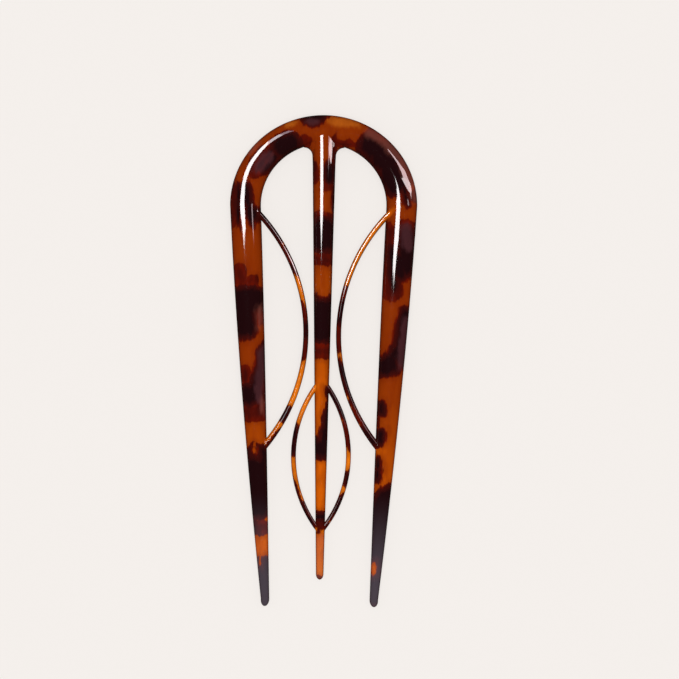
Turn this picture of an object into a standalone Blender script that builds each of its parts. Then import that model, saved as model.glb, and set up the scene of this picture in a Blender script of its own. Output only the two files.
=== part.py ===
"""A French hair pin: one piece of polished tortoiseshell acetate with three prongs.

Metres, +Z up. X runs across the pin, +Y towards its crown and +Z towards its front. The pin lies on
its flat back in the plane Z = 0, and the origin is on that plane under the middle of the pin.
"""
import math
from collections import namedtuple

import bmesh
import bpy
from mathutils import Vector

MM = 0.001

# Overall size
LENGTH = 100.1 * MM
WIDTH = 38.1 * MM

# Crown arch
ARCH_RISE = 18.44 * MM
CROWN_BAND = 5.86 * MM
SHOULDER_BAND = 6.28 * MM
CROWN_THICK = 4.6 * MM

# Legs
LEG_LEAN = math.radians(2.9)
TIP_LEAN = math.radians(4.0)
LEG_TIP_BAND = 1.6 * MM
LEG_TIP_THICK = 1.8 * MM
LEG_TIP_ROUND = 1.4 * MM
LEG_TAPER = 1.58

# Centre prong, whose root runs into the crown's band by a share of that band
PRONG_SHORTER = 5.5 * MM
PRONG_ROOT_BAND = 4.9 * MM
PRONG_TIP_BAND = 1.5 * MM
PRONG_STEP_DOWN = 0.1 * MM
PRONG_SEAT = 0.47
PRONG_TIP_THICK = 1.6 * MM
PRONG_TIP_ROUND = 1.2 * MM
PRONG_TAPER = 1.9
CROTCH_RADIUS = 1.7 * MM
CROTCH_WEB_SEAT = 0.25
CROTCH_WEB_DEPTH = 0.72

# Side bows
BOW_TOP_BAND = 1.2 * MM
BOW_WAIST_BAND = 1.05 * MM
BOW_BOTTOM_BAND = 1.5 * MM
BOW_TOP_ABOVE_SHOULDER = 0.9 * MM
BOW_BOTTOM_BELOW_SHOULDER = 50.7 * MM
BOW_PRONG_GAP = 1.1 * MM

# Leaf loop round the prong
LEAF_BAND = 1.0 * MM
LEAF_WIDTH = 12.2 * MM
LEAF_TOP_ABOVE_TIP = 40.3 * MM
LEAF_BOTTOM_ABOVE_TIP = 10.25 * MM

# Shape of a bar's section, with heights as shares of the bar's thickness. The strips' back and front
# are shares of the thickness of the bar beside them, and a tip's last ring is a share of its bar.
WIDEST_HEIGHT = 0.45
BACK_OVERRUN = 1.12
SECTION_SOFTNESS = 0.88
STRIP_FRONT = 0.84
STRIP_BACK = 0.42
TIP_CAP = 0.12

# Facets
BAR_SIDES = 16
STRIP_SIDES = 10
ARCH_STEPS = 40
LEG_STEPS = 18
PRONG_STEPS = 16
CROTCH_STEPS = 6
STRIP_STEPS = 22
ROUND_END_TURNS = (0.16, 0.40, 0.66, 1.0)

# Material
TORTOISESHELL = (0.30, 0.075, 0.008, 1.0)
POLISH_ROUGHNESS = 0.12

# A cross-section of a bar: where it is, which way the bar runs there, its width, and its back and front
Station = namedtuple("Station", "x y heading band back front")

CROWN_TOP = LENGTH / 2
SHOULDER_Y = CROWN_TOP - ARCH_RISE
LEG_LENGTH = LENGTH - ARCH_RISE
TIP_Y = -LENGTH / 2
PRONG_TIP_Y = TIP_Y + PRONG_SHORTER
CROWN_INNER_Y = CROWN_TOP - CROWN_BAND
PRONG_ROOT_Y = CROWN_INNER_Y + CROWN_BAND * PRONG_SEAT
ARCH_HALF_WIDTH = (WIDTH - SHOULDER_BAND) / 2
ARCH_HEIGHT = ARCH_RISE - CROWN_BAND / 2


def blend(start, end, share):
    return start + (end - start) * share


def section_shares(sides):
    """Across from -1 to 1 and height from 0 to 1 round an oval whose back is cut flat."""
    shares = []
    for k in range(sides):
        turn = math.tau * k / sides
        across = math.copysign(abs(math.cos(turn)) ** SECTION_SOFTNESS, math.cos(turn))
        rise = abs(math.sin(turn)) ** SECTION_SOFTNESS
        if math.sin(turn) > 0:
            height = WIDEST_HEIGHT + (1 - WIDEST_HEIGHT) * rise
        else:
            height = max(0.0, WIDEST_HEIGHT * (1 - BACK_OVERRUN * rise))
        shares.append((across, height))
    return shares


def station_ring(station, sides):
    """The points of one cross-section, square to the bar's run."""
    right = Vector((math.sin(station.heading), -math.cos(station.heading), 0))
    centre = Vector((station.x, station.y, station.back))
    thick = station.front - station.back
    ring = []
    for across, height in section_shares(sides):
        ring.append(centre + right * (across * station.band / 2) + Vector((0, 0, height * thick)))
    return ring


def loft(name, stations, sides):
    """A closed bar through its stations, with a flat cap on each end."""
    mesh = bmesh.new()
    rings = []
    for station in stations:
        rings.append([mesh.verts.new(point) for point in station_ring(station, sides)])
    for lower, upper in zip(rings, rings[1:]):
        for k in range(sides):
            following = (k + 1) % sides
            mesh.faces.new((lower[k], lower[following], upper[following], upper[k]))
    mesh.faces.new(rings[0])
    mesh.faces.new(reversed(rings[-1]))
    bmesh.ops.recalc_face_normals(mesh, faces=mesh.faces)
    data = bpy.data.meshes.new(name)
    mesh.to_mesh(data)
    mesh.free()
    return bpy.data.objects.new(name, data)


def rounded_end(last, length):
    """Stations that carry a bar past its last full section to a blunt round tip."""
    middle = blend(last.back, last.front, WIDEST_HEIGHT)
    stations = []
    for turn in ROUND_END_TURNS:
        reach = math.sin(turn * math.pi / 2) * length
        size = max(math.cos(turn * math.pi / 2), TIP_CAP)
        stations.append(Station(
            last.x + math.cos(last.heading) * reach,
            last.y + math.sin(last.heading) * reach,
            last.heading,
            last.band * size,
            blend(middle, last.back, size),
            blend(middle, last.front, size),
        ))
    return stations


def arch_station(turn):
    """A section of the crown, by its turn round the arch from the right shoulder."""
    x = ARCH_HALF_WIDTH * math.cos(turn)
    y = SHOULDER_Y + ARCH_HEIGHT * math.sin(turn)
    heading = math.atan2(ARCH_HEIGHT * math.cos(turn), -ARCH_HALF_WIDTH * math.sin(turn))
    band = blend(SHOULDER_BAND, CROWN_BAND, math.sin(turn) ** 2)
    return Station(x, y, heading, band, 0.0, CROWN_THICK)


def leg_station(drop):
    """A section of the right leg, by its drop below the shoulder."""
    share = drop / LEG_LENGTH
    lean = blend(LEG_LEAN, TIP_LEAN, share)
    mean_lean = blend(LEG_LEAN, TIP_LEAN, share / 2)
    x = ARCH_HALF_WIDTH - math.tan(mean_lean) * drop
    fullness = 1 - max(share, 0.0) ** LEG_TAPER
    band = blend(LEG_TIP_BAND, SHOULDER_BAND, fullness)
    thick = blend(LEG_TIP_THICK, CROWN_THICK, fullness)
    return Station(x, SHOULDER_Y - drop, math.pi / 2 + lean, band, 0.0, thick)


def mirrored(station):
    """The same section on the other side of the pin, running the other way."""
    return station._replace(x=-station.x, heading=-station.heading)


def frame_stations():
    """From the right leg's tip up over the crown and down to the left leg's tip."""
    last_drop = LEG_LENGTH - LEG_TIP_ROUND
    leg = [leg_station(last_drop * k / LEG_STEPS) for k in range(LEG_STEPS, 0, -1)]
    tip_down = leg[0]._replace(heading=leg[0].heading + math.pi)
    tip = rounded_end(tip_down, LEG_TIP_ROUND)
    tip_up = [station._replace(heading=leg[0].heading) for station in reversed(tip)]
    right = tip_up + leg
    arch = [arch_station(math.pi * k / ARCH_STEPS) for k in range(ARCH_STEPS + 1)]
    left = [mirrored(station) for station in reversed(right)]
    return right + arch + left


def prong_size(y):
    """Width and thickness of the centre prong at a height along the pin."""
    share = (PRONG_ROOT_Y - y) / (PRONG_ROOT_Y - PRONG_TIP_Y)
    band = blend(PRONG_ROOT_BAND, PRONG_TIP_BAND, share)
    fullness = 1 - max(share, 0.0) ** PRONG_TAPER
    thick = blend(PRONG_TIP_THICK, CROWN_THICK - PRONG_STEP_DOWN, fullness)
    return band, thick


def prong_stations():
    """Down the middle, from inside the crown to the prong's own tip."""
    last_y = PRONG_TIP_Y + PRONG_TIP_ROUND
    stations = []
    for k in range(PRONG_STEPS + 1):
        y = blend(PRONG_ROOT_Y, last_y, k / PRONG_STEPS)
        band, thick = prong_size(y)
        stations.append(Station(0.0, y, -math.pi / 2, band, 0.0, thick))
    return stations + rounded_end(stations[-1], PRONG_TIP_ROUND)


def crotch_web_stations():
    """A thin web whose two edges are the rounded crotches between the crown and the prong."""
    inner_half_width = ARCH_HALF_WIDTH - SHOULDER_BAND / 2
    inner_height = ARCH_HEIGHT - CROWN_BAND / 2
    beside_prong = prong_size(CROWN_INNER_Y)[0] / 2 + CROTCH_RADIUS
    across_share = beside_prong / (inner_half_width - CROTCH_RADIUS)
    centre_y = SHOULDER_Y + (inner_height - CROTCH_RADIUS) * math.sqrt(1 - across_share ** 2)
    outline = [(centre_y - CROTCH_RADIUS, prong_size(centre_y - CROTCH_RADIUS)[0] / 2)]
    for k in range(CROTCH_STEPS + 1):
        turn = math.pi / 2 * k / CROTCH_STEPS
        outline.append((
            centre_y + CROTCH_RADIUS * math.sin(turn),
            beside_prong - CROTCH_RADIUS * math.cos(turn),
        ))
    outline.append((CROWN_INNER_Y + CROWN_BAND * CROTCH_WEB_SEAT, beside_prong))
    stations = []
    for y, half_width in outline:
        thick = prong_size(y)[1]
        middle = thick * WIDEST_HEIGHT
        back = blend(middle, 0.0, CROTCH_WEB_DEPTH)
        front = blend(middle, thick, CROTCH_WEB_DEPTH)
        stations.append(Station(0.0, y, math.pi / 2, half_width * 2, back, front))
    return stations


def bow_circle(top, bottom, nearest_x):
    """Centre and radius of the circle through two places that comes no nearer the middle than nearest_x.

    With the circle's diameter as the unknown, the rises from its centre to both places, which add up
    to the height between them, give a quadratic. Its smaller answer has the centre between the two.
    """
    height = top.y - bottom.y
    top_out = top.x - nearest_x
    bottom_out = bottom.x - nearest_x
    slant = (top_out - bottom_out) / (2 * height)
    offset = height / 2 - slant * (top_out + bottom_out)
    middle_term = top_out - 2 * slant * offset
    last_term = offset ** 2 + top_out ** 2
    diameter = 2 * last_term / (middle_term + math.sqrt(middle_term ** 2 - 4 * slant ** 2 * last_term))
    centre_y = top.y - offset - slant * diameter
    return nearest_x + diameter / 2, centre_y, diameter / 2


def bow_stations():
    """The right side bow, from the top of the leg in towards the prong and back to the leg."""
    top = leg_station(-BOW_TOP_ABOVE_SHOULDER)
    bottom = leg_station(BOW_BOTTOM_BELOW_SHOULDER)
    waist_y = (top.y + bottom.y) / 2
    nearest_x = prong_size(waist_y)[0] / 2 + BOW_PRONG_GAP + BOW_WAIST_BAND / 2
    centre_x, centre_y, radius = bow_circle(top, bottom, nearest_x)
    start = math.atan2(top.y - centre_y, top.x - centre_x)
    end = math.atan2(bottom.y - centre_y, bottom.x - centre_x) + math.tau
    stations = []
    for k in range(STRIP_STEPS + 1):
        share = k / STRIP_STEPS
        turn = blend(start, end, share)
        y = centre_y + radius * math.sin(turn)
        end_band = BOW_TOP_BAND if y > waist_y else BOW_BOTTOM_BAND
        band = blend(BOW_WAIST_BAND, end_band, (2 * share - 1) ** 2)
        thick = leg_station(SHOULDER_Y - y).front
        stations.append(Station(
            centre_x + radius * math.cos(turn), y, turn + math.pi / 2,
            band, thick * STRIP_BACK, thick * STRIP_FRONT,
        ))
    return stations


def leaf_stations():
    """The right arm of the leaf loop, from inside the prong out round the leaf and back."""
    top_y = PRONG_TIP_Y + LEAF_TOP_ABOVE_TIP
    bottom_y = PRONG_TIP_Y + LEAF_BOTTOM_ABOVE_TIP
    root_x = prong_size(bottom_y)[0] / 4
    widest_x = (LEAF_WIDTH - LEAF_BAND) / 2
    half_chord = (top_y - bottom_y) / 2
    bulge = widest_x - root_x
    radius = (half_chord ** 2 + bulge ** 2) / (2 * bulge)
    half_turn = math.asin(half_chord / radius)
    stations = []
    for k in range(STRIP_STEPS + 1):
        turn = blend(half_turn, -half_turn, k / STRIP_STEPS)
        y = (top_y + bottom_y) / 2 + radius * math.sin(turn)
        thick = prong_size(y)[1]
        stations.append(Station(
            widest_x - radius + radius * math.cos(turn), y, turn - math.pi / 2,
            LEAF_BAND, thick * STRIP_BACK, thick * STRIP_FRONT,
        ))
    return stations


def acetate():
    material = bpy.data.materials.new("tortoise_acetate")
    material.use_nodes = True
    shader = material.node_tree.nodes["Principled BSDF"]
    shader.inputs["Base Color"].default_value = TORTOISESHELL
    shader.inputs["Roughness"].default_value = POLISH_ROUGHNESS
    shader.inputs["Metallic"].default_value = 0.0
    material.diffuse_color = TORTOISESHELL
    return material


def fuse(body, members, collection):
    """Unites the members with the body in one step, as one moulding."""
    for member in members:
        collection.objects.link(member)
        member.hide_render = True
        member.display_type = "WIRE"
    union = body.modifiers.new("fuse", "BOOLEAN")
    union.operation = "UNION"
    union.solver = "EXACT"
    union.operand_type = "COLLECTION"
    union.collection = collection


def main():
    for old in list(bpy.data.objects):
        bpy.data.objects.remove(old, do_unlink=True)
    part = bpy.data.collections.new("french_hair_pin")
    members = bpy.data.collections.new("fused_members")
    bpy.context.scene.collection.children.link(part)
    bpy.context.scene.collection.children.link(members)

    pin = loft("hair_pin", frame_stations(), BAR_SIDES)
    part.objects.link(pin)
    bow = bow_stations()
    leaf = leaf_stations()
    fuse(pin, [
        loft("centre_prong", prong_stations(), BAR_SIDES),
        loft("crotch_web", crotch_web_stations(), BAR_SIDES),
        loft("side_bow_right", bow, STRIP_SIDES),
        loft("side_bow_left", [mirrored(station) for station in bow], STRIP_SIDES),
        loft("leaf_arm_right", leaf, STRIP_SIDES),
        loft("leaf_arm_left", [mirrored(station) for station in leaf], STRIP_SIDES),
    ], members)
    pin.data.materials.append(acetate())


main()
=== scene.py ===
import math
from collections import namedtuple

import bpy
import numpy as np
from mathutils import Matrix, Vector


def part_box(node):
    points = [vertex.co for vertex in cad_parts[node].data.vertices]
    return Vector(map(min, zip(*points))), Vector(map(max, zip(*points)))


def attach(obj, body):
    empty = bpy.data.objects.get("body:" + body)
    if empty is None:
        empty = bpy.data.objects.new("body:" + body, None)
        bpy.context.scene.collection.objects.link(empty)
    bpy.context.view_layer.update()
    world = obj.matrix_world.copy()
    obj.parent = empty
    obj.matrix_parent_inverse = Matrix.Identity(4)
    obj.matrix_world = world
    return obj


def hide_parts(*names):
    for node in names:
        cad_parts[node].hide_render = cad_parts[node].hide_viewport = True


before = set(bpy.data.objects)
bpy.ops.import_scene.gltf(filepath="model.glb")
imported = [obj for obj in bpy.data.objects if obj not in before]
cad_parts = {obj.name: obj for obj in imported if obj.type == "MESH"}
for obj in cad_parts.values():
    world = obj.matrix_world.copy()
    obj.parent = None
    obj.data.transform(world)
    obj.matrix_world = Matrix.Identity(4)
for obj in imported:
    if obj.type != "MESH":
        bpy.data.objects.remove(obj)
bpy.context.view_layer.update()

MM = 0.001


# Acetate slab
# The pin is cut from one cast slab of cellulose acetate. Amber and black-brown stock is pressed together
# while it is soft, so dark clouds with red-brown fringes run through the slab. The buffing wheel hardly
# reaches the strips' lower parts. Painted light is laid into the colour too: a grey reflection on the tips,
# sheen on parts of the crown and legs, light shining through the slight bars and shade on the side walls.

Cloud = namedtuple("Cloud", "tone x y half_x half_y turn")

# Where the clouds lie: millimetres from the middle of the pin, turn in degrees anticlockwise. Dark is
# black-brown stock, red its fringe and amber a gap in both. Pale, brown and the purple-grey tone tint what
# they lie on, all as painted light: pale is a painted reflection of light from above, brown a painted
# brownish sheen and the purple-grey tone a painted sheen on dark stock.
CLOUDS = [Cloud(*row) for row in (
    # crown and its two shoulders
    # pale: a painted reflection of dim light from above on the crown
    ("pale", 3.6, 48.7, 3.6, 1.0, -8),
    ("pale", -6.6, 48.2, 1.6, 0.5, 18),
    ("dark", -2.3, 50.2, 2.7, 2.4, 0),
    ("red", -2.1, 50.1, 3.1, 1.6, 0),
    ("grey_sheen", -2.4, 48.7, 1.5, 0.6, 0),
    ("dark", -7.8, 43.6, 3.3, 2.6, 25),
    ("red", -3.8, 44.6, 1.3, 1.3, 0),
    ("red", -12.7, 40.5, 4.0, 2.3, 52),
    ("grey_sheen", -12.3, 40.2, 2.9, 1.2, 52),
    ("dark", -12.0, 40.8, 3.4, 0.9, 52),
    ("dark", -10.9, 40.2, 3.0, 1.2, 50),
    ("brown", -14.2, 43.3, 1.8, 0.5, 50),
    ("dark", -15.3, 31.6, 1.1, 4.7, 11),
    ("dark", -14.3, 29.6, 1.6, 1.8, 0),
    ("red", -18.4, 31.3, 1.2, 4.6, 0),
    ("dark", -17.3, 31.6, 0.6, 4.4, 0),
    ("dark", 9.6, 43.4, 3.1, 2.6, -38),
    ("dark", 12.4, 41.4, 3.6, 3.2, -50),
    ("dark", 14.2, 37.5, 3.7, 3.1, -68),
    # brown clouds: a painted brownish sheen of dim light from the sides
    ("brown", 10.9, 45.6, 2.8, 1.1, -28),
    ("brown", 13.8, 43.3, 3.2, 1.2, -44),
    ("brown", 16.7, 39.2, 3.0, 1.2, -62),
    ("brown", 18.2, 35.4, 1.1, 3.2, 8),
    ("dark", 16.6, 34.1, 0.9, 2.6, 10),
    ("red", 11.8, 44.2, 4.2, 1.6, -42),
    ("red", 4.6, 44.1, 2.3, 0.9, -5),
    ("dark", 18.1, 33.6, 1.0, 1.1, 0),
    # left leg
    ("red", -16.9, 17.6, 1.8, 2.2, 0),
    ("red", -14.4, 16.2, 1.5, 1.4, 0),
    ("dark", -15.0, 12.4, 3.9, 3.0, -6),
    ("dark", -16.2, 9.0, 2.9, 4.9, 14),
    ("red", -12.8, 9.2, 0.8, 2.6, 0),
    ("brown", -12.8, 8.6, 0.6, 2.4, 0),
    ("dark", -12.3, -2.0, 1.7, 7.0, -14),
    ("red", -15.5, -2.9, 1.3, 2.1, 0),
    ("dark", -14.2, -6.9, 3.0, 2.5, 14),
    ("grey_sheen", -12.4, -3.0, 1.0, 6.0, -4),
    ("red", -13.6, -10.3, 3.4, 2.3, 4),
    ("brown", -12.1, -8.8, 0.3, 1.7, 0),
    ("dark", -12.9, -24.8, 3.6, 7.8, 0),
    ("amber", -13.6, -17.7, 0.65, 1.8, 0),
    ("red", -12.0, -34.0, 2.2, 1.7, 0),
    ("dark", -13.3, -33.6, 0.4, 1.5, 0),
    ("dark", -11.2, -45.8, 2.2, 5.9, 0),
    ("amber", -12.15, -40.6, 0.4, 1.5, 0),
    # right leg
    ("dark", 17.1, 22.6, 2.3, 5.5, 2),
    ("red", 16.6, 26.0, 2.6, 3.0, 0),
    ("dark", 15.6, 19.3, 1.9, 3.2, 0),
    ("grey_sheen", 17.0, 25.4, 1.3, 2.9, 2),
    ("red", 13.4, 20.2, 1.9, 8.2, 3),
    ("dark", 14.2, 18.9, 1.2, 5.2, 3),
    ("red", 14.4, 14.3, 2.4, 1.9, 24),
    ("dark", 16.7, 4.9, 2.3, 6.4, -8),
    ("dark", 15.3, 1.9, 1.9, 2.5, -32),
    ("grey_sheen", 16.5, 3.8, 1.1, 5.4, -7),
    ("dark", 13.3, -0.7, 2.9, 2.4, 18),
    ("dark", 12.1, -9.6, 1.0, 1.65, 0),
    ("dark", 11.9, -15.2, 1.3, 1.8, 0),
    ("dark", 11.5, -22.0, 0.8, 2.6, -3),
    ("red", 11.6, -12.4, 0.6, 1.5, 0),
    ("dark", 12.6, -33.4, 4.2, 8.8, -20),
    ("dark", 11.3, -45.0, 2.5, 5.1, 0),
    ("amber", 11.1, -42.3, 0.8, 1.5, 0),
    ("red", 11.2, -44.7, 0.9, 1.4, 0),
    # centre prong
    ("red", 2.0, 43.0, 0.5, 3.0, 0),
    ("red", -1.8, 38.2, 0.9, 2.5, 0),
    ("dark", 1.1, 38.1, 1.4, 2.4, 0),
    ("red", 0.6, 35.5, 1.5, 1.1, 0),
    ("dark", 2.1, 33.0, 0.5, 2.6, 0),
    ("dark", 0.0, 25.6, 3.0, 3.9, 0),
    ("red", 0.0, 29.2, 3.0, 1.2, -4),
    ("red", 0.0, 20.6, 3.0, 1.2, -12),
    ("dark", 0.0, 8.6, 3.0, 5.1, 0),
    ("amber", 0.2, 15.4, 1.7, 2.7, 0),
    ("red", -1.0, 11.2, 0.7, 2.5, 0),
    ("red", 0.0, 2.0, 3.0, 1.7, 0),
    ("dark", 0.95, -13.6, 1.1, 5.0, -11),
    ("dark", 0.0, -17.6, 2.4, 2.3, 0),
    ("dark", 0.0, -31.7, 2.5, 1.0, 0),
    ("red", 0.0, -33.3, 2.5, 1.0, 0),
    ("red", -0.5, -34.6, 0.45, 0.8, 0),
    ("brown", 0.0, -40.4, 2.2, 5.0, 0),
    ("dark", 0.0, -44.9, 2.0, 0.9, 0),
    # left side bow
    ("dark", -10.9, 27.6, 1.0, 4.4, 35),
    ("red", -6.6, 20.4, 1.1, 3.6, 28),
    ("dark", -6.0, 18.9, 0.8, 1.3, 28),
    ("red", -3.9, 10.2, 0.8, 2.4, 12),
    ("dark", -3.3, 6.1, 0.8, 2.1, 0),
    ("red", -3.5, 2.2, 0.9, 2.2, -6),
    ("dark", -7.3, -10.9, 1.2, 1.75, -33),
    ("dark", -9.2, -15.4, 0.38, 2.6, -38),
    # right side bow
    ("dark", 3.8, 10.1, 0.9, 3.0, -12),
    ("red", 4.4, 13.5, 0.8, 2.0, -18),
    ("red", 3.4, 4.6, 0.8, 2.8, 0),
    ("dark", 5.2, -4.6, 1.0, 5.1, 21),
    ("red", 7.8, -11.3, 0.9, 2.2, 33),
    ("dark", 9.8, -15.3, 0.9, 2.5, 38),
    # leaf loop, left arm then right arm
    ("dark", -5.5, -16.2, 0.8, 3.4, -5),
    ("dark", -5.1, -26.6, 0.35, 2.9, 22),
    ("dark", -2.9, -31.2, 0.9, 3.5, 33),
    ("dark", 3.3, -8.9, 0.9, 4.2, 30),
    ("red", 5.2, -14.9, 0.8, 3.6, 11),
    ("dark", 5.4, -23.9, 0.8, 1.5, -8),
    ("dark", 3.7, -29.2, 0.9, 2.6, -28),
    ("red", 1.9, -32.1, 0.5, 0.9, -35),
    ("dark", 1.6, -33.6, 0.5, 0.8, -30),
)]
CLOUD_SQUARENESS = 2.5
HALO_WIDTH = 0.32 * MM

# Depths inside a cloud's edge between which a tone sets in
CLOUD_EDGE = (-0.15 * MM, 0.18 * MM)
TOP_REFLECTION_EDGE = (-0.6 * MM, 0.6 * MM)
BROWN_SHEEN_EDGE = (-0.7 * MM, 0.9 * MM)
GREY_SHEEN_EDGE = (-0.5 * MM, 0.7 * MM)
NEAR_FRINGE = (-1.3 * MM, 0.0)
DEEP_IN_FRINGE = (0.3 * MM, 1.8 * MM)
DEEP_IN_DARK = (0.1 * MM, 1.4 * MM)

# The largest share that a tint has of the colour
TOP_REFLECTION_SHARE = 0.6
SWIRL_SHARE = 0.35
REDDENED_SHARE = 0.35
DEEP_RED_SHARE = 0.6
BROWN_SHEEN_SHARE = 0.32
GREY_SHEEN_SHARE = 0.25

# The painted grey reflection of the pale surroundings on the legs' tips sets in between these places along
# and across the pin, and amber shows only a part of it
TIP_REFLECTION_ALONG = (-26 * MM, -46 * MM)
TIP_REFLECTION_ACROSS = (7 * MM, 9 * MM)
TIP_REFLECTION_SHARE = 0.3
AMBER_TIP_REFLECTION_SHARE = 0.3

# Bulks of a bar, one length for its width and thickness, between which painted light shines through its
# amber, painted shade on its side walls grows darker, and it counts as a strip or as a bar
LIT_THROUGH_BULK = (4.6 * MM, 2.4 * MM)
MOST_LIT_THROUGH_BULK = (2.2 * MM, 1.3 * MM)
SIDE_SHADE_BULK = (2.2 * MM, 1.6 * MM)
SIDE_SHADE_SHARES = (0.5, 0.8)
SIDE_SHADE_TURN = (0.22, 0.85)
STRIP_TO_BAR = (1.7 * MM, 2.3 * MM)

# The strips are buffed bright above the second of these places along the pin, and dull below the first
BUFFED_ALONG = (11 * MM, 18 * MM)
BUFFED_GLOSS = (0.06, 0.5)
STRIP_GLOSS_GAIN = 1.9

# The grain's sizes across, along and through the slab, and how far it shifts the clouds' edges
BRUSH_GRAIN = (1.6 * MM, 3.0 * MM, 3.0 * MM)
HAIR_GRAIN = (0.35 * MM, 1.3 * MM, 1.0 * MM)
SWIRL_GRAIN = (1.5 * MM, 5.0 * MM, 3.0 * MM)
BRUSH_SHIFT = 0.4 * MM
HAIR_SHIFT = 0.14 * MM
SHIFT_RANGE = (0.2, 0.8)
AMBER_SWIRL_RANGE = (0.4, 0.7)
RED_SWIRL_RANGE = (0.3, 0.7)


def tint(red, green, blue):
    """A display colour, 0 to 255 a channel, as the linear colour that a shader takes."""
    shares = [channel / 255 for channel in (red, green, blue)]
    linear = [s / 12.92 if s <= 0.04045 else ((s + 0.055) / 1.055) ** 2.4 for s in shares]
    return (*linear, 1.0)


AMBER = tint(134, 47, 3)
AMBER_LIT_THROUGH = tint(200, 88, 3)
AMBER_MOST_LIT_THROUGH = tint(220, 114, 18)
AMBER_WITH_TOP_REFLECTION = tint(190, 100, 24)
SWIRLED_AMBER = tint(118, 34, 2)
REDDENED_AMBER = tint(108, 28, 3)
RED_BROWN = tint(98, 17, 3)
SWIRLED_RED_BROWN = tint(66, 10, 5)
DEEP_RED_BROWN = tint(56, 10, 8)
BLACK_BROWN_RIM = tint(58, 11, 8)
BLACK_BROWN_CORE = tint(29, 7, 9)
PAINTED_BROWN_SHEEN = tint(156, 84, 71)
PAINTED_GREY_SHEEN = tint(112, 62, 68)
PAINTED_TIP_REFLECTION = tint(115, 108, 120)
PAINTED_SIDE_SHADE = tint(38, 12, 5)


def depth_inside(cloud, places):
    """How far inside a cloud's edge each place is, in metres, and less than 0 outside it."""
    turn = math.radians(cloud.turn)
    x = places[:, 0] - cloud.x * MM
    y = places[:, 1] - cloud.y * MM
    along_x = np.abs(x * math.cos(turn) + y * math.sin(turn)) / (cloud.half_x * MM)
    along_y = np.abs(y * math.cos(turn) - x * math.sin(turn)) / (cloud.half_y * MM)
    power = CLOUD_SQUARENESS
    size = np.maximum((along_x ** power + along_y ** power) ** (1 / power), 1e-3)
    slope_x = (along_x / size) ** (power - 1) / (cloud.half_x * MM)
    slope_y = (along_y / size) ** (power - 1) / (cloud.half_y * MM)
    return (1 - size) / np.hypot(slope_x, slope_y)


def chart_clouds(places):
    """How deep each place lies in every tone of stock, where "fringe" is red-brown or darker stock."""
    tones = {}
    for cloud in CLOUDS:
        depth = depth_inside(cloud, places)
        known = tones.get(cloud.tone)
        tones[cloud.tone] = depth if known is None else np.maximum(known, depth)
    amber = tones.pop("amber")
    tones["dark"] = np.minimum(tones["dark"], -amber)
    fringe = np.maximum(tones.pop("red"), tones["dark"] + HALO_WIDTH)
    tones["fringe"] = np.minimum(fringe, HALO_WIDTH - amber)
    return tones


def add_node(tree, kind, inputs=(), **settings):
    """Adds a node, sets its options and feeds its inputs with values or with other nodes' sockets."""
    node = tree.nodes.new(kind)
    for name, value in settings.items():
        setattr(node, name, value)
    for name, value in dict(inputs).items():
        if isinstance(value, bpy.types.NodeSocket):
            tree.links.new(value, node.inputs[name])
        else:
            node.inputs[name].default_value = value
    return node


def grain(tree, coordinates, size, detail):
    """Noise whose grains have a size in metres along X, Y and Z."""
    place = add_node(tree, "ShaderNodeMapping", {
        "Vector": coordinates, "Scale": [1 / length for length in size],
    }).outputs["Vector"]
    return add_node(tree, "ShaderNodeTexNoise", {
        "Vector": place, "Scale": 1.0, "Detail": detail,
    }).outputs["Fac"]


def share_of(tree, value, low, high, to_low=0.0, to_high=1.0):
    """Takes a value smoothly from one range to another."""
    return add_node(tree, "ShaderNodeMapRange", {
        "Value": value, "From Min": low, "From Max": high, "To Min": to_low, "To Max": to_high,
    }, interpolation_type="SMOOTHSTEP").outputs["Result"]


def mixed(tree, share, first, second):
    node = tree.nodes.new("ShaderNodeMix")
    node.data_type = "RGBA"
    for name, value in (("Factor_Float", share), ("A_Color", first), ("B_Color", second)):
        socket = next(s for s in node.inputs if s.identifier == name)
        if isinstance(value, bpy.types.NodeSocket):
            tree.links.new(value, socket)
        else:
            socket.default_value = value
    return next(s for s in node.outputs if s.identifier == "Result_Color")


def calculate(tree, operation, first, second=0.0):
    return add_node(tree, "ShaderNodeMath", {0: first, 1: second}, operation=operation).outputs[0]


def surface_value(tree, name):
    return add_node(tree, "ShaderNodeAttribute", attribute_name=name).outputs["Fac"]


def cloud_depths(tree, coordinates):
    """How deep a place lies in each tone of stock, with the clouds' edges shifted by the grain."""
    brush = grain(tree, coordinates, BRUSH_GRAIN, 2.0)
    hairs = grain(tree, coordinates, HAIR_GRAIN, 2.0)
    shift = calculate(tree, "ADD", share_of(tree, brush, *SHIFT_RANGE, -BRUSH_SHIFT, BRUSH_SHIFT),
                      share_of(tree, hairs, *SHIFT_RANGE, -HAIR_SHIFT, HAIR_SHIFT))
    return {
        tone: calculate(tree, "ADD", surface_value(tree, f"{tone}_depth"), shift)
        for tone in ("dark", "fringe", "pale", "brown", "grey_sheen")
    }


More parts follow.
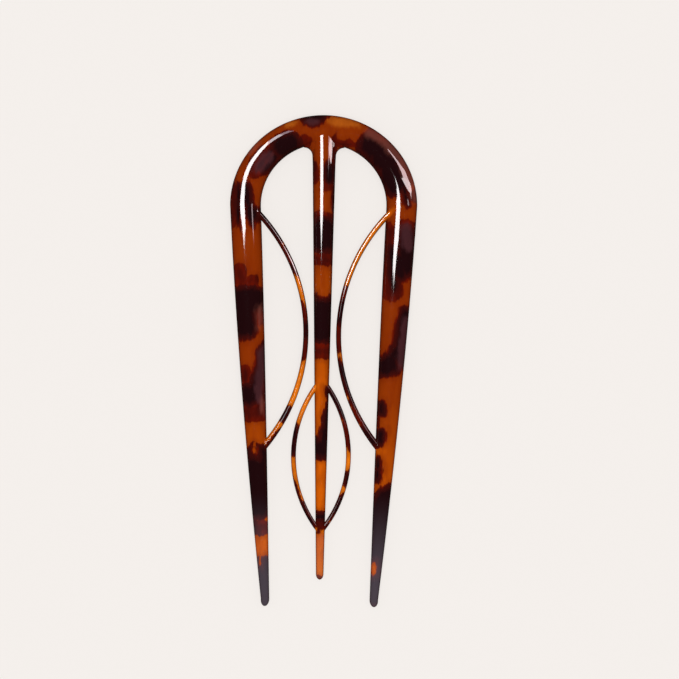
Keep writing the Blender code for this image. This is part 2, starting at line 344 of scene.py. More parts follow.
def amber_stock(tree, depths, swirl, bulk):
    """Amber with painted light shining through where the bar is slight, a painted reflection of light from
    above where the pale clouds lie, and redder beside a fringe.
    """
    amber = mixed(tree, share_of(tree, bulk, *LIT_THROUGH_BULK), AMBER, AMBER_LIT_THROUGH)
    amber = mixed(tree, share_of(tree, bulk, *MOST_LIT_THROUGH_BULK), amber, AMBER_MOST_LIT_THROUGH)
    # painted reflection of light from above, where the pale clouds lie
    amber = mixed(tree, share_of(tree, depths["pale"], *TOP_REFLECTION_EDGE, 0.0, TOP_REFLECTION_SHARE), amber, AMBER_WITH_TOP_REFLECTION)
    swirled = share_of(tree, swirl, *AMBER_SWIRL_RANGE, 0.0, SWIRL_SHARE)
    amber = mixed(tree, swirled, amber, SWIRLED_AMBER)
    near_fringe = share_of(tree, depths["fringe"], *NEAR_FRINGE, 0.0, REDDENED_SHARE)
    return mixed(tree, near_fringe, amber, REDDENED_AMBER)


def fringe_stock(tree, depths, swirl):
    """Red-brown that deepens away from the amber."""
    red_brown = mixed(tree, share_of(tree, swirl, *RED_SWIRL_RANGE), RED_BROWN, SWIRLED_RED_BROWN)
    deep_red = share_of(tree, depths["fringe"], *DEEP_IN_FRINGE, 0.0, DEEP_RED_SHARE)
    return mixed(tree, deep_red, red_brown, DEEP_RED_BROWN)


def stock_colour(tree, depths, swirl, bulk):
    """The slab's colour: amber, fringes over it, dark clouds over both, and tints of painted sheen over all.
    """
    amber = amber_stock(tree, depths, swirl, bulk)
    fringe = fringe_stock(tree, depths, swirl)
    dark = mixed(tree, share_of(tree, depths["dark"], *DEEP_IN_DARK), BLACK_BROWN_RIM, BLACK_BROWN_CORE)
    colour = mixed(tree, share_of(tree, depths["fringe"], *CLOUD_EDGE), amber, fringe)
    colour = mixed(tree, share_of(tree, depths["dark"], *CLOUD_EDGE), colour, dark)
    # painted brownish sheen where the brown clouds lie
    colour = mixed(tree, share_of(tree, depths["brown"], *BROWN_SHEEN_EDGE, 0.0, BROWN_SHEEN_SHARE), colour, PAINTED_BROWN_SHEEN)
    # painted purple-grey sheen on the dark stock
    return mixed(tree, share_of(tree, depths["grey_sheen"], *GREY_SHEEN_EDGE, 0.0, GREY_SHEEN_SHARE), colour, PAINTED_GREY_SHEEN)


def with_painted_tip_reflection(tree, colour, place, fringe_depth):
    """The colour with a painted grey reflection of the pale surroundings on the legs' tips, mostly on their
    darker stock.
    """
    on_legs = share_of(tree, calculate(tree, "ABSOLUTE", place["X"]), *TIP_REFLECTION_ACROSS)
    on_tips = calculate(tree, "MULTIPLY", on_legs, share_of(tree, place["Y"], *TIP_REFLECTION_ALONG, 0.0, TIP_REFLECTION_SHARE))
    reflection_share = calculate(tree, "MULTIPLY", on_tips, share_of(tree, fringe_depth, *CLOUD_EDGE, AMBER_TIP_REFLECTION_SHARE))
    return mixed(tree, reflection_share, colour, PAINTED_TIP_REFLECTION)


def with_painted_side_shade(tree, colour, bulk):
    """The colour with painted shade on the bars' sides, which turn away from the light overhead."""
    shaded_colour = mixed(tree, share_of(tree, bulk, *SIDE_SHADE_BULK, *SIDE_SHADE_SHARES), colour, PAINTED_SIDE_SHADE)
    return mixed(tree, share_of(tree, surface_value(tree, "side_wall"), *SIDE_SHADE_TURN), colour, shaded_colour)


def gloss(tree, place, bulk):
    """How strongly the surface mirrors: evenly on the bars, and by how well they are buffed on strips."""
    on_bars = share_of(tree, bulk, *STRIP_TO_BAR)
    buffed = calculate(tree, "MAXIMUM", on_bars, share_of(tree, place["Y"], *BUFFED_ALONG))
    return calculate(tree, "MULTIPLY", share_of(tree, buffed, 0.0, 1.0, *BUFFED_GLOSS),
                     share_of(tree, on_bars, 0.0, 1.0, STRIP_GLOSS_GAIN, 1.0))


def acetate_material():
    material = bpy.data.materials.new("tortoise_acetate")
    material.use_nodes = True
    tree = material.node_tree
    coordinates = add_node(tree, "ShaderNodeTexCoord").outputs["Object"]
    place = add_node(tree, "ShaderNodeSeparateXYZ", {0: coordinates}).outputs
    bulk = surface_value(tree, "bulk")
    depths = cloud_depths(tree, coordinates)
    colour = stock_colour(tree, depths, grain(tree, coordinates, SWIRL_GRAIN, 3.0), bulk)
    colour = with_painted_side_shade(tree, with_painted_tip_reflection(tree, colour, place, depths["fringe"]), bulk)
    shader = tree.nodes["Principled BSDF"]
    tree.links.new(colour, shader.inputs["Base Color"])
    tree.links.new(gloss(tree, place, bulk), shader.inputs["Specular IOR Level"])
    shader.inputs["Roughness"].default_value = 0.035
    shader.inputs["IOR"].default_value = 1.49
    return material


acetate = acetate_material()


# Crown and legs
# The hoop at the closed end of the pin and its two outer legs are one bar, sawn from the slab in one
# piece and rounded over, with the slab's polished face left as a narrow flat along its back.

LOW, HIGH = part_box("hair_pin")
LENGTH = HIGH.y - LOW.y
WIDTH = HIGH.x - LOW.x
CROWN_THICK = HIGH.z - LOW.z
ARCH_RISE = 18.44 * MM
CROWN_BAND = 5.86 * MM
SHOULDER_BAND = 6.28 * MM
LEG_LEAN = math.radians(2.9)
TIP_LEAN = math.radians(4.0)
LEG_TIP_BAND = 1.6 * MM
LEG_TIP_THICK = 1.8 * MM
LEG_TIP_ROUND = 1.4 * MM
LEG_TAPER = 1.58
BAR_SIDES = 56
ARCH_STEPS = 150
LEG_STEPS = 220
ROUND_END_STEPS = 9
TIP_CAP = 0.05

CROWN_TOP = HIGH.y
SHOULDER_Y = CROWN_TOP - ARCH_RISE
LEG_LENGTH = LENGTH - ARCH_RISE
TIP_Y = LOW.y
CROWN_INNER_Y = CROWN_TOP - CROWN_BAND
ARCH_HALF_WIDTH = (WIDTH - SHOULDER_BAND) / 2
ARCH_HEIGHT = ARCH_RISE - CROWN_BAND / 2

# The oval section: its shares of the bar's thickness, and how far its corners are squared
SECTION = {"Widest Height": 0.45, "Back Overrun": 1.12, "Softness": 0.88}

# A cross-section of a bar: where it is, which way the bar runs there, its width, its back and front
Station = namedtuple("Station", "x y heading band back front")


def add_sockets(tree):
    """The bar's inputs with their usual values, and the bar."""
    sockets = (
        ("Rail", "NodeSocketGeometry", None),
        ("Sides", "NodeSocketInt", BAR_SIDES),
        ("Widest Height", "NodeSocketFloat", SECTION["Widest Height"]),
        ("Back Overrun", "NodeSocketFloat", SECTION["Back Overrun"]),
        ("Softness", "NodeSocketFloat", SECTION["Softness"]),
        ("Finish", "NodeSocketMaterial", None),
    )
    for name, kind, usual in sockets:
        socket = tree.interface.new_socket(name, in_out="INPUT", socket_type=kind)
        if usual is not None:
            socket.default_value = usual
    tree.interface.new_socket("Bar", in_out="OUTPUT", socket_type="NodeSocketGeometry")


def flat_backed_oval(tree, given):
    """A ring of points that carry where they lie in the section, as shares of its width and thickness."""
    step = add_node(tree, "GeometryNodeInputIndex").outputs[0]
    turn = calculate(tree, "MULTIPLY", calculate(tree, "DIVIDE", step, given["Sides"]), math.tau)
    cosine = calculate(tree, "COSINE", turn)
    sine = calculate(tree, "SINE", turn)
    across = calculate(tree, "MULTIPLY", calculate(tree, "SIGN", cosine), calculate(
        tree, "POWER", calculate(tree, "ABSOLUTE", cosine), given["Softness"]))
    rise = calculate(tree, "POWER", calculate(tree, "ABSOLUTE", sine), given["Softness"])
    widest = given["Widest Height"]
    over = calculate(tree, "MULTIPLY", calculate(tree, "SUBTRACT", 1.0, widest), rise)
    front_height = calculate(tree, "ADD", widest, over)
    under = calculate(tree, "SUBTRACT", 1.0, calculate(tree, "MULTIPLY", given["Back Overrun"], rise))
    back_height = calculate(tree, "MAXIMUM", calculate(tree, "MULTIPLY", widest, under), 0.0)
    on_front = calculate(tree, "GREATER_THAN", sine, 0.0)
    height = add_node(tree, "ShaderNodeMix", {0: on_front, 2: back_height, 3: front_height}).outputs[0]
    oval = add_node(tree, "GeometryNodeCurvePrimitiveCircle", {"Resolution": given["Sides"]}).outputs["Curve"]
    for name, value in (("across_share", across), ("height_share", height)):
        oval = add_node(tree, "GeometryNodeStoreNamedAttribute", {
            "Geometry": oval, "Name": name, "Value": value,
        }).outputs["Geometry"]
    return oval


def carried(tree, name, kind="FLOAT"):
    attribute = add_node(tree, "GeometryNodeInputNamedAttribute", {"Name": name}, data_type=kind)
    return attribute.outputs["Attribute"]


def section_place(tree):
    """Where a point of the sweep belongs, by its shares and by the sizes that the rail carries there."""
    sideways = calculate(tree, "MULTIPLY", carried(tree, "across_share"), carried(tree, "band"))
    reach = calculate(tree, "MULTIPLY", sideways, 0.5)
    offset = add_node(tree, "ShaderNodeVectorMath", {
        0: carried(tree, "right_hand", "FLOAT_VECTOR"), "Scale": reach,
    }, operation="SCALE").outputs[0]
    thick = calculate(tree, "SUBTRACT", carried(tree, "front"), carried(tree, "back"))
    up = calculate(tree, "MULTIPLY_ADD", carried(tree, "height_share"), thick)
    tree.links.new(carried(tree, "back"), up.node.inputs[2])
    lift = add_node(tree, "ShaderNodeCombineXYZ", {"Z": up}).outputs[0]
    beside = add_node(tree, "ShaderNodeVectorMath", {
        0: carried(tree, "centre", "FLOAT_VECTOR"), 1: offset,
    }, operation="ADD").outputs[0]
    return add_node(tree, "ShaderNodeVectorMath", {0: beside, 1: lift}, operation="ADD").outputs[0]


def oval_bar_tree():
    """Sweeps the flat-backed oval along a rail whose points carry the bar's sizes there."""
    tree = bpy.data.node_groups.new("oval_bar", "GeometryNodeTree")
    add_sockets(tree)
    given = add_node(tree, "NodeGroupInput").outputs
    path = add_node(tree, "GeometryNodeMeshToCurve", {"Mesh": given["Rail"]}).outputs["Curve"]
    bar = add_node(tree, "GeometryNodeCurveToMesh", {
        "Curve": path, "Profile Curve": flat_backed_oval(tree, given), "Fill Caps": True,
    }).outputs["Mesh"]
    bar = add_node(tree, "GeometryNodeSetPosition", {
        "Geometry": bar, "Position": section_place(tree),
    }).outputs["Geometry"]
    bar = add_node(tree, "GeometryNodeSetShadeSmooth", {"Geometry": bar}).outputs["Geometry"]
    bar = add_node(tree, "GeometryNodeRealizeInstances", {"Geometry": bar}).outputs["Geometry"]
    bar = add_node(tree, "GeometryNodeSetMaterial", {
        "Geometry": bar, "Material": given["Finish"],
    }).outputs["Geometry"]
    add_node(tree, "NodeGroupOutput", {"Bar": bar})
    return tree


def rail_mesh(name, stations):
    """A chain of points that carry a bar's centre, its way across, its width, its back and its front."""
    mesh = bpy.data.meshes.new(name)
    points = [(station.x, station.y, 0) for station in stations]
    mesh.from_pydata(points, [(k, k + 1) for k in range(len(points) - 1)], [])
    vectors = {
        "centre": points,
        "right_hand": [(math.sin(s.heading), -math.cos(s.heading), 0) for s in stations],
    }
    for key, values in vectors.items():
        mesh.attributes.new(key, "FLOAT_VECTOR", "POINT").data.foreach_set("vector", np.ravel(values))
    for key in ("band", "back", "front"):
        values = [getattr(station, key) for station in stations]
        mesh.attributes.new(key, "FLOAT", "POINT").data.foreach_set("value", values)
    return mesh


def applied(shape):
    """Gives an object its evaluated mesh and takes its modifiers away."""
    finished = bpy.data.meshes.new_from_object(shape.evaluated_get(bpy.context.evaluated_depsgraph_get()))
    shape.modifiers.clear()
    shape.data = finished
    return shape


def oval_bar(name, stations, sides, softness=SECTION["Softness"]):
    bar = bpy.data.objects.new(name, rail_mesh(name, stations))
    bpy.context.scene.collection.objects.link(bar)
    sweep = bar.modifiers.new("sweep", "NODES")
    sweep.node_group = OVAL_BAR
    sizes = {**SECTION, "Softness": softness, "Sides": sides, "Finish": acetate}
    for item in OVAL_BAR.interface.items_tree:
        if item.in_out == "INPUT" and item.name in sizes:
            sweep[item.identifier] = sizes[item.name]
    return applied(bar)


def between(start, end, share):
    return start + (end - start) * share


def rounded_end(last, length):
    """Stations that carry a bar past its last full section to a blunt round tip."""
    middle = between(last.back, last.front, SECTION["Widest Height"])
    stations = []
    for k in range(1, ROUND_END_STEPS + 1):
        turn = math.pi / 2 * k / ROUND_END_STEPS
        size = max(math.cos(turn), TIP_CAP)
        stations.append(Station(
            last.x + math.cos(last.heading) * math.sin(turn) * length,
            last.y + math.sin(last.heading) * math.sin(turn) * length,
            last.heading,
            last.band * size,
            between(middle, last.back, size),
            between(middle, last.front, size),
        ))
    return stations


def arch_station(turn):
    """A section of the crown, by its turn round the arch from the right shoulder."""
    heading = math.atan2(ARCH_HEIGHT * math.cos(turn), -ARCH_HALF_WIDTH * math.sin(turn))
    band = between(SHOULDER_BAND, CROWN_BAND, math.sin(turn) ** 2)
    x = ARCH_HALF_WIDTH * math.cos(turn)
    y = SHOULDER_Y + ARCH_HEIGHT * math.sin(turn)
    return Station(x, y, heading, band, 0.0, CROWN_THICK)


def leg_station(drop):
    """A section of the right leg, by its drop below the shoulder."""
    share = drop / LEG_LENGTH
    mean_lean = between(LEG_LEAN, TIP_LEAN, share / 2)
    fullness = 1 - max(share, 0.0) ** LEG_TAPER
    return Station(
        ARCH_HALF_WIDTH - math.tan(mean_lean) * drop,
        SHOULDER_Y - drop,
        math.pi / 2 + between(LEG_LEAN, TIP_LEAN, share),
        between(LEG_TIP_BAND, SHOULDER_BAND, fullness),
        0.0,
        between(LEG_TIP_THICK, CROWN_THICK, fullness),
    )


def mirrored(station):
    """The same section on the other side of the pin, running the other way."""
    return station._replace(x=-station.x, heading=-station.heading)


def frame_stations():
    """From the right leg's tip up over the crown and down to the left leg's tip."""
    last_drop = LEG_LENGTH - LEG_TIP_ROUND
    leg = [leg_station(last_drop * k / LEG_STEPS) for k in range(LEG_STEPS, 0, -1)]
    tip = rounded_end(leg[0]._replace(heading=leg[0].heading + math.pi), LEG_TIP_ROUND)
    right = [station._replace(heading=leg[0].heading) for station in reversed(tip)] + leg
    arch = [arch_station(math.pi * k / ARCH_STEPS) for k in range(ARCH_STEPS + 1)]
    return right + arch + [mirrored(station) for station in reversed(right)]


OVAL_BAR = oval_bar_tree()
pin = oval_bar("polished_pin", frame_stations(), BAR_SIDES)


# Centre prong
# The third prong runs down the middle from the crown and tapers to a round tip, a little shorter
# than the legs. It is part of the same slab, with two small rounded crotches filed beside its root.

PRONG_SHORTER = 5.5 * MM
PRONG_ROOT_BAND = 4.9 * MM
PRONG_TIP_BAND = 1.5 * MM
PRONG_STEP_DOWN = 0.1 * MM
PRONG_SEAT = 0.47
PRONG_TIP_THICK = 1.6 * MM
PRONG_TIP_ROUND = 1.2 * MM
PRONG_TAPER = 1.9
CROTCH_RADIUS = 1.7 * MM
CROTCH_WEB_SEAT = 0.25
CROTCH_WEB_DEPTH = 0.72
PRONG_SIDES = 48
PRONG_SOFTNESS = 0.83
PRONG_STEPS = 240
CROTCH_STEPS = 14

PRONG_TIP_Y = TIP_Y + PRONG_SHORTER
PRONG_ROOT_Y = CROWN_INNER_Y + CROWN_BAND * PRONG_SEAT


def prong_share(y):
    """How far down the prong a place along the pin is, from 0 at its root to 1 at its tip."""
    return (PRONG_ROOT_Y - y) / (PRONG_ROOT_Y - PRONG_TIP_Y)


def prong_band(y):
    return between(PRONG_ROOT_BAND, PRONG_TIP_BAND, prong_share(y))


def prong_thick(y):
    fullness = 1 - max(prong_share(y), 0.0) ** PRONG_TAPER
    return between(PRONG_TIP_THICK, CROWN_THICK - PRONG_STEP_DOWN, fullness)


def prong_stations():
    """Down the middle, from inside the crown to the prong's own tip."""
    last_y = PRONG_TIP_Y + PRONG_TIP_ROUND
    stations = []
    for k in range(PRONG_STEPS + 1):
        y = between(PRONG_ROOT_Y, last_y, k / PRONG_STEPS)
        stations.append(Station(0.0, y, -math.pi / 2, prong_band(y), 0.0, prong_thick(y)))
    return stations + rounded_end(stations[-1], PRONG_TIP_ROUND)


def crotch_outline():
    """The right crotch's edge, as heights along the pin and half widths there, up into the crown."""
    inner_half_width = ARCH_HALF_WIDTH - SHOULDER_BAND / 2
    inner_height = ARCH_HEIGHT - CROWN_BAND / 2
    beside_prong = prong_band(CROWN_INNER_Y) / 2 + CROTCH_RADIUS
    across_share = beside_prong / (inner_half_width - CROTCH_RADIUS)
    centre_y = SHOULDER_Y + (inner_height - CROTCH_RADIUS) * math.sqrt(1 - across_share ** 2)
    outline = [(centre_y - CROTCH_RADIUS, prong_band(centre_y - CROTCH_RADIUS) / 2)]
    for k in range(CROTCH_STEPS + 1):
        turn = math.pi / 2 * k / CROTCH_STEPS
        outline.append((
            centre_y + CROTCH_RADIUS * math.sin(turn),
            beside_prong - CROTCH_RADIUS * math.cos(turn),
        ))
    return [*outline, (CROWN_INNER_Y + CROWN_BAND * CROTCH_WEB_SEAT, beside_prong)]


def crotch_web_stations():
    """A thin web whose two edges are the rounded crotches between the crown and the prong."""
    stations = []
    for y, half_width in crotch_outline():
        middle = prong_thick(y) * SECTION["Widest Height"]
        back = between(middle, 0.0, CROTCH_WEB_DEPTH)
        front = between(middle, prong_thick(y), CROTCH_WEB_DEPTH)
        stations.append(Station(0.0, y, math.pi / 2, half_width * 2, back, front))
    return stations


prong = oval_bar("centre_prong", prong_stations(), PRONG_SIDES, PRONG_SOFTNESS)
crotch_web = oval_bar("crotch_web", crotch_web_stations(), PRONG_SIDES, PRONG_SOFTNESS)


# Side bows
# Two thin strips leave the legs' inner edges, bend in almost to the prong and go back to the legs.
# They grip the hair. Each is pierced from the same slab, and stands a little below the bars' front.

BOW_TOP_BAND = 1.2 * MM
BOW_WAIST_BAND = 1.05 * MM
BOW_BOTTOM_BAND = 1.5 * MM
BOW_TOP_ABOVE_SHOULDER = 0.9 * MM
BOW_BOTTOM_BELOW_SHOULDER = 50.7 * MM
BOW_PRONG_GAP = 1.1 * MM
STRIP_FRONT = 0.84
STRIP_BACK = 0.42
STRIP_SIDES = 28
BOW_STEPS = 150


def bow_circle(top, bottom, nearest_x):
    """Centre and radius of the circle through two places that comes no nearer the middle than nearest_x.

    With the circle's diameter as the unknown, the rises from its centre to both places, which add up
    to the height between them, give a quadratic. Its smaller answer has the centre between the two.
    """
    height = top.y - bottom.y
    top_out = top.x - nearest_x
    bottom_out = bottom.x - nearest_x
    slant = (top_out - bottom_out) / (2 * height)
    offset = height / 2 - slant * (top_out + bottom_out)
    middle_term = top_out - 2 * slant * offset
    last_term = offset ** 2 + top_out ** 2
    diameter = 2 * last_term / (middle_term + math.sqrt(middle_term ** 2 - 4 * slant ** 2 * last_term))
    return nearest_x + diameter / 2, top.y - offset - slant * diameter, diameter / 2


def bow_stations():
    """The right side bow, from the top of the leg in towards the prong and back to the leg."""
    top = leg_station(-BOW_TOP_ABOVE_SHOULDER)
    bottom = leg_station(BOW_BOTTOM_BELOW_SHOULDER)
    waist_y = (top.y + bottom.y) / 2
    nearest_x = prong_band(waist_y) / 2 + BOW_PRONG_GAP + BOW_WAIST_BAND / 2
    centre_x, centre_y, radius = bow_circle(top, bottom, nearest_x)
    start = math.atan2(top.y - centre_y, top.x - centre_x)
    end = math.atan2(bottom.y - centre_y, bottom.x - centre_x) + math.tau
    stations = []
    for k in range(BOW_STEPS + 1):
        share = k / BOW_STEPS
        turn = between(start, end, share)
        y = centre_y + radius * math.sin(turn)
        end_band = BOW_TOP_BAND if y > waist_y else BOW_BOTTOM_BAND
        band = between(BOW_WAIST_BAND, end_band, (2 * share - 1) ** 2)
        thick = leg_station(SHOULDER_Y - y).front
        stations.append(Station(
            centre_x + radius * math.cos(turn), y, turn + math.pi / 2,
            band, thick * STRIP_BACK, thick * STRIP_FRONT,
        ))
    return stations


bow = bow_stations()
side_bows = [
    oval_bar("side_bow_right", bow, STRIP_SIDES),
    oval_bar("side_bow_left", [mirrored(station) for station in bow], STRIP_SIDES),
]


# Leaf loop
# A thin almond-shaped ring round the lower part of the prong, pierced from the same slab. Its two
# arms spring from the prong's sides and meet it again above the tip.

LEAF_BAND = 1.0 * MM
LEAF_WIDTH = 12.2 * MM
LEAF_TOP_ABOVE_TIP = 40.3 * MM
LEAF_BOTTOM_ABOVE_TIP = 10.25 * MM
LEAF_ROOT_SHARE = 0.25
LEAF_STEPS = 100


def leaf_stations():
    """The right arm of the leaf loop, from inside the prong out round the leaf and back."""
    top_y = PRONG_TIP_Y + LEAF_TOP_ABOVE_TIP
    bottom_y = PRONG_TIP_Y + LEAF_BOTTOM_ABOVE_TIP
    root_x = prong_band(bottom_y) * LEAF_ROOT_SHARE
    widest_x = (LEAF_WIDTH - LEAF_BAND) / 2
    half_chord = (top_y - bottom_y) / 2
    bulge = widest_x - root_x
    radius = (half_chord ** 2 + bulge ** 2) / (2 * bulge)
    half_turn = math.asin(half_chord / radius)
    stations = []
    for k in range(LEAF_STEPS + 1):
        turn = between(half_turn, -half_turn, k / LEAF_STEPS)
        y = (top_y + bottom_y) / 2 + radius * math.sin(turn)
        thick = prong_thick(y)
        stations.append(Station(
            widest_x - radius + radius * math.cos(turn), y, turn - math.pi / 2,
            LEAF_BAND, thick * STRIP_BACK, thick * STRIP_FRONT,
        ))
    return stations


leaf = leaf_stations()
leaf_arms = [
    oval_bar("leaf_arm_right", leaf, STRIP_SIDES),
    oval_bar("leaf_arm_left", [mirrored(station) for station in leaf], STRIP_SIDES),
]


# The pin as one piece
# The forms above are one solid on the real pin, sawn from one slab and tumbled in a barrel with polishing
# grit. Where the acetate is slight, painted light shines through its amber, and where it is thick and wide
# its amber stays deeper.

PLACES_AT_A_TIME = 4000
BLEND_ROUNDS = 6


def fuse(body, members):
    """Unites the members with the body in one step, and removes them."""
    group = bpy.data.collections.new("fused_members")
    for member in members:
        group.objects.link(member)
    union = body.modifiers.new("fuse", "BOOLEAN")
    union.operation = "UNION"
    union.solver = "EXACT"
    union.operand_type = "COLLECTION"
    union.collection = group
    applied(body)
    for member in members:
        bpy.data.objects.remove(member)
    bpy.data.collections.remove(group)


fuse(pin, [prong, crotch_web, *side_bows, *leaf_arms])


def point_vectors(mesh, name):
    values = np.zeros(len(mesh.vertices) * 3)
    mesh.vertices.foreach_get(name, values)
    return values.reshape(-1, 3)


def bulk_at(places, stations):
    """One length for the width and thickness of the bar whose middle each place lies nearest to."""
    middles = np.array([(station.x, station.y) for station in stations])
    bands = np.array([station.band for station in stations])
    sizes = np.sqrt(bands * np.array([station.front - station.back for station in stations]))
    bulk = []
    for first in range(0, len(places), PLACES_AT_A_TIME):
        gaps = places[first:first + PLACES_AT_A_TIME, None, :2] - middles
        bulk.append(sizes[np.argmin(np.hypot(gaps[..., 0], gaps[..., 1]) / bands, axis=1)])
    return np.concatenate(bulk)


def blended(mesh, values):
    """Evens out values a little between neighbouring points."""
    edges = np.zeros(len(mesh.edges) * 2, dtype=int)
    mesh.edges.foreach_get("vertices", edges)
    first, second = edges.reshape(-1, 2).T
    here = np.concatenate([first, second])
    there = np.concatenate([second, first])
    count = 1 + np.bincount(here, minlength=len(values))
    for _ in range(BLEND_ROUNDS):
        values = (values + np.bincount(here, values[there], len(values))) / count
    return values


def note_surface(mesh, stations):
    """Stores on each point what the acetate's colours depend on there."""
    places = point_vectors(mesh, "co")
    noted = {f"{tone}_depth": depth for tone, depth in chart_clouds(places).items()}
    noted["bulk"] = blended(mesh, bulk_at(places, stations))
    # How far each point turns to the side, which sets how much painted shade its colour takes
    noted["side_wall"] = 1 - np.clip(point_vectors(mesh, "normal")[:, 2], 0, 1)
    for name, values in noted.items():
        mesh.attributes.new(name, "FLOAT", "POINT").data.foreach_set("value", values.astype(np.float32))


right_strips = [*bow, *leaf]
note_surface(pin.data, [
    *frame_stations(), *prong_stations(), *right_strips, *(mirrored(station) for station in right_strips),
])
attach(pin, "root")
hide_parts("hair_pin")


# Table top
# A plain pale sheet of opal acrylic for the pin to lie on, lit softly from below, so that the pin
# throws hardly a shadow. Only the polish doesn't mirror it, as its glare would whiten the pin's edges.

FLOOR_HALF_SIZE = 1.6
FLOOR_COLOUR = tint(244, 239, 235)
LIT_FROM_BELOW = 0.8
LIT_FROM_ABOVE = 0.18


def table_top():
    edge = FLOOR_HALF_SIZE
    mesh = bpy.data.meshes.new("table_top")
    corners = [(-edge, -edge, 0), (edge, -edge, 0), (edge, edge, 0), (-edge, edge, 0)]
    mesh.from_pydata(corners, [], [(0, 1, 2, 3)])
    opal = bpy.data.materials.new("opal_acrylic")
    opal.use_nodes = True
    shader = opal.node_tree.nodes["Principled BSDF"]
    shader.inputs["Base Color"].default_value = [channel * LIT_FROM_ABOVE for channel in FLOOR_COLOUR]
    shader.inputs["Roughness"].default_value = 0.9
    shader.inputs["Specular IOR Level"].default_value = 0.0
    shader.inputs["Emission Color"].default_value = FLOOR_COLOUR
    shader.inputs["Emission Strength"].default_value = LIT_FROM_BELOW
    mesh.materials.append(opal)
    floor = bpy.data.objects.new("table_top", mesh)
    floor.visible_glossy = False
    bpy.context.scene.collection.objects.link(floor)
    return floor


table_top()


# Softboxes
# Cut-out softboxes that the polish mirrors as its highlights, one of them close to the crown, and a wide
# sheet overhead that lights the colour below the polish evenly.

LIGHT_DISTANCE = 2.4
NEAR_DISTANCE = 0.06
OVERHEAD_WIDTH = 1.6
OVERHEAD_WATTS = 38.5
ROOM_BRIGHTNESS = 0.555
MIRRORED_ROOM_BRIGHTNESS = 0.015

# A softbox's corners, as the x and y shares of their directions from the pin
KEY_CORNERS = (
    (-0.25, -0.007), (-0.222, -0.0105), (-0.2, -0.006), (-0.15, 0.004), (-0.07, 0.012), (-0.07, 0.028),
    (-0.09, 0.048), (-0.12, 0.062), (-0.18, 0.077), (-0.22, 0.105), (-0.26, 0.15), (-0.33, 0.25),
    (-0.29, 0.36), (-0.45, 0.57), (-0.55, 0.47), (-0.61, 0.39), (-0.58, 0.27), (-0.49, 0.17),
    (-0.42, 0.1), (-0.42, 0.05), (-0.44, 0.02), (-0.42, 0.009), (-0.36, 0.005), (-0.3, 0.002),
)
KEY_SPILL_CORNERS = ((-0.29, 0.36), (-0.19, 0.38), (-0.33, 0.585), (-0.45, 0.57))
KEY_FADE_CORNERS = ((-0.19, 0.38), (-0.11, 0.32), (-0.22, 0.52), (-0.33, 0.585))
SIDE_CORNERS = (
    (0.48, 0.5), (0.52, 0.33), (0.49, 0.22), (0.6, 0.225), (0.71, 0.215), (0.79, 0.175), (0.835, 0.115),
    (0.865, 0.15), (0.9, 0.25), (0.88, 0.32), (0.83, 0.43), (0.7, 0.45), (0.6, 0.51), (0.53, 0.55),
)
SIDE_STRIP_CORNERS = ((0.46, 0.085), (0.49, 0.05), (0.53, 0.04), (0.62, 0.04), (0.56, 0.085))
NEAR_CORNERS = (
    (0.75, 0.12), (0.62, 0.075), (0.52, 0.036), (0.6, 0.0095), (0.78, -0.019), (0.9, -0.028), (0.95, -0.01),
    (0.97, 0.035), (0.96, 0.12),
)

# Where a softbox's directions are counted from, in millimetres, and how far off its corners are, in metres
Softbox = namedtuple("Softbox", "name corners from_x from_y distance colour brightness")
SOFTBOXES = (
    Softbox("key_softbox", KEY_CORNERS, 0.0, 0.0, LIGHT_DISTANCE, (1.0, 0.97, 0.97, 1.0), 26.0),
    Softbox("key_spill", KEY_SPILL_CORNERS, 0.0, 0.0, LIGHT_DISTANCE, (1.0, 0.92, 0.98, 1.0), 13.0),
    Softbox("key_fade", KEY_FADE_CORNERS, 0.0, 0.0, LIGHT_DISTANCE, (1.0, 0.75, 0.85, 1.0), 6.0),
    Softbox("side_softbox", SIDE_CORNERS, 0.0, 0.0, LIGHT_DISTANCE, (1.0, 0.76, 0.79, 1.0), 14.0),
    Softbox("side_strip", SIDE_STRIP_CORNERS, 0.0, 0.0, LIGHT_DISTANCE, (1.0, 0.76, 0.79, 1.0), 8.0),
    Softbox("near_softbox", NEAR_CORNERS, 1.2, 43.0, NEAR_DISTANCE, (1.0, 0.84, 0.85, 1.0), 16.0),
)


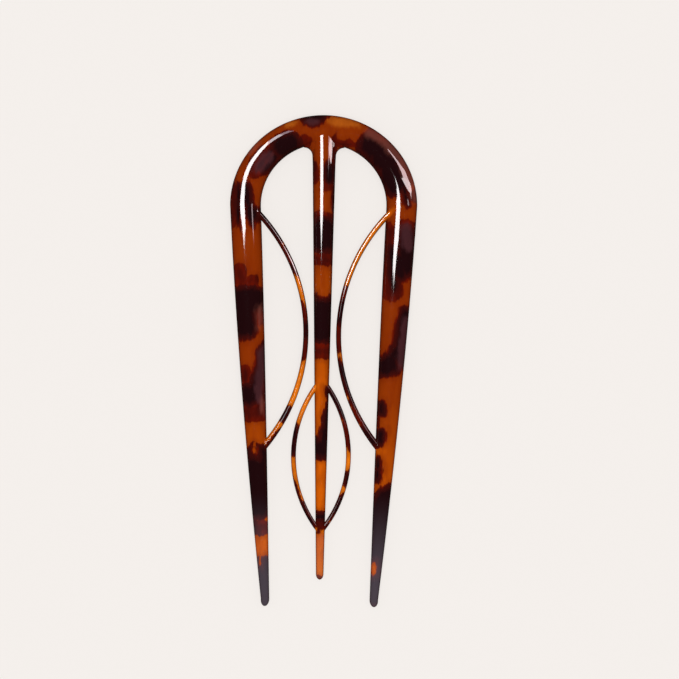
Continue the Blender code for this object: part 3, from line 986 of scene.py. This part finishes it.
def softbox(lamp):
    """A glowing sheet cut to a shape, that only the polish sees."""
    centre = Vector((lamp.from_x * MM, lamp.from_y * MM, 0))
    corners = [Vector((x, y, math.sqrt(1 - x * x - y * y))) for x, y in lamp.corners]
    middle = sum(corners, Vector()) / len(corners)
    places = [centre + lamp.distance * corner for corner in (*corners, middle)]
    count = len(corners)
    mesh = bpy.data.meshes.new(lamp.name)
    mesh.from_pydata(places, [], [(k, count, (k + 1) % count) for k in range(count)])
    glow = bpy.data.materials.new(lamp.name)
    glow.use_nodes = True
    shader = glow.node_tree.nodes["Principled BSDF"]
    shader.inputs["Base Color"].default_value = (0, 0, 0, 1)
    shader.inputs["Emission Color"].default_value = lamp.colour
    shader.inputs["Emission Strength"].default_value = lamp.brightness
    mesh.materials.append(glow)
    sheet = bpy.data.objects.new(lamp.name, mesh)
    for ray in ("camera", "diffuse", "transmission", "volume_scatter", "shadow"):
        setattr(sheet, f"visible_{ray}", False)
    bpy.context.scene.collection.objects.link(sheet)
    return sheet


def overhead_sheet(width, power):
    data = bpy.data.lights.new("overhead_sheet", "AREA")
    data.shape = "SQUARE"
    data.size = width
    data.energy = power
    light = bpy.data.objects.new("overhead_sheet", data)
    light.location = (0, 0, LIGHT_DISTANCE)
    light.visible_glossy = False
    bpy.context.scene.collection.objects.link(light)


for lamp in SOFTBOXES:
    softbox(lamp)
overhead_sheet(OVERHEAD_WIDTH, OVERHEAD_WATTS)


def studio_world():
    world = bpy.data.worlds.new("studio")
    world.use_nodes = True
    tree = world.node_tree
    tree.nodes.clear()
    room = add_node(tree, "ShaderNodeBackground", {"Strength": ROOM_BRIGHTNESS})
    mirrored_room = add_node(tree, "ShaderNodeBackground", {"Strength": MIRRORED_ROOM_BRIGHTNESS})
    path = add_node(tree, "ShaderNodeLightPath")
    both = add_node(tree, "ShaderNodeMixShader", {
        0: path.outputs["Is Glossy Ray"], 1: room.outputs[0], 2: mirrored_room.outputs[0],
    })
    for background in (room, mirrored_room):
        background.inputs["Color"].default_value = (1, 1, 1, 1)
    add_node(tree, "ShaderNodeOutputWorld", {"Surface": both.outputs[0]})
    bpy.context.scene.world = world


studio_world()
bpy.context.scene.view_settings.view_transform = "Standard"


# Camera
# Straight above the pin with a long lens, turned a little, so that the pin leans to the right.

CAMERA_HEIGHT = 0.9
SEEN_HEIGHT = 2.0 * MM
FRAME_WIDTH = 138.2 * MM
AIM_X = 3.52 * MM
AIM_Y = 4.42 * MM
ROLL = math.radians(0.62)

camera_data = bpy.data.cameras.new("camera")
camera_data.lens = camera_data.sensor_width * (CAMERA_HEIGHT - SEEN_HEIGHT) / FRAME_WIDTH
camera = bpy.data.objects.new("camera", camera_data)
camera.location = (AIM_X, AIM_Y, CAMERA_HEIGHT)
camera.rotation_euler = (0, 0, ROLL)
bpy.context.scene.collection.objects.link(camera)
bpy.context.scene.camera = camera
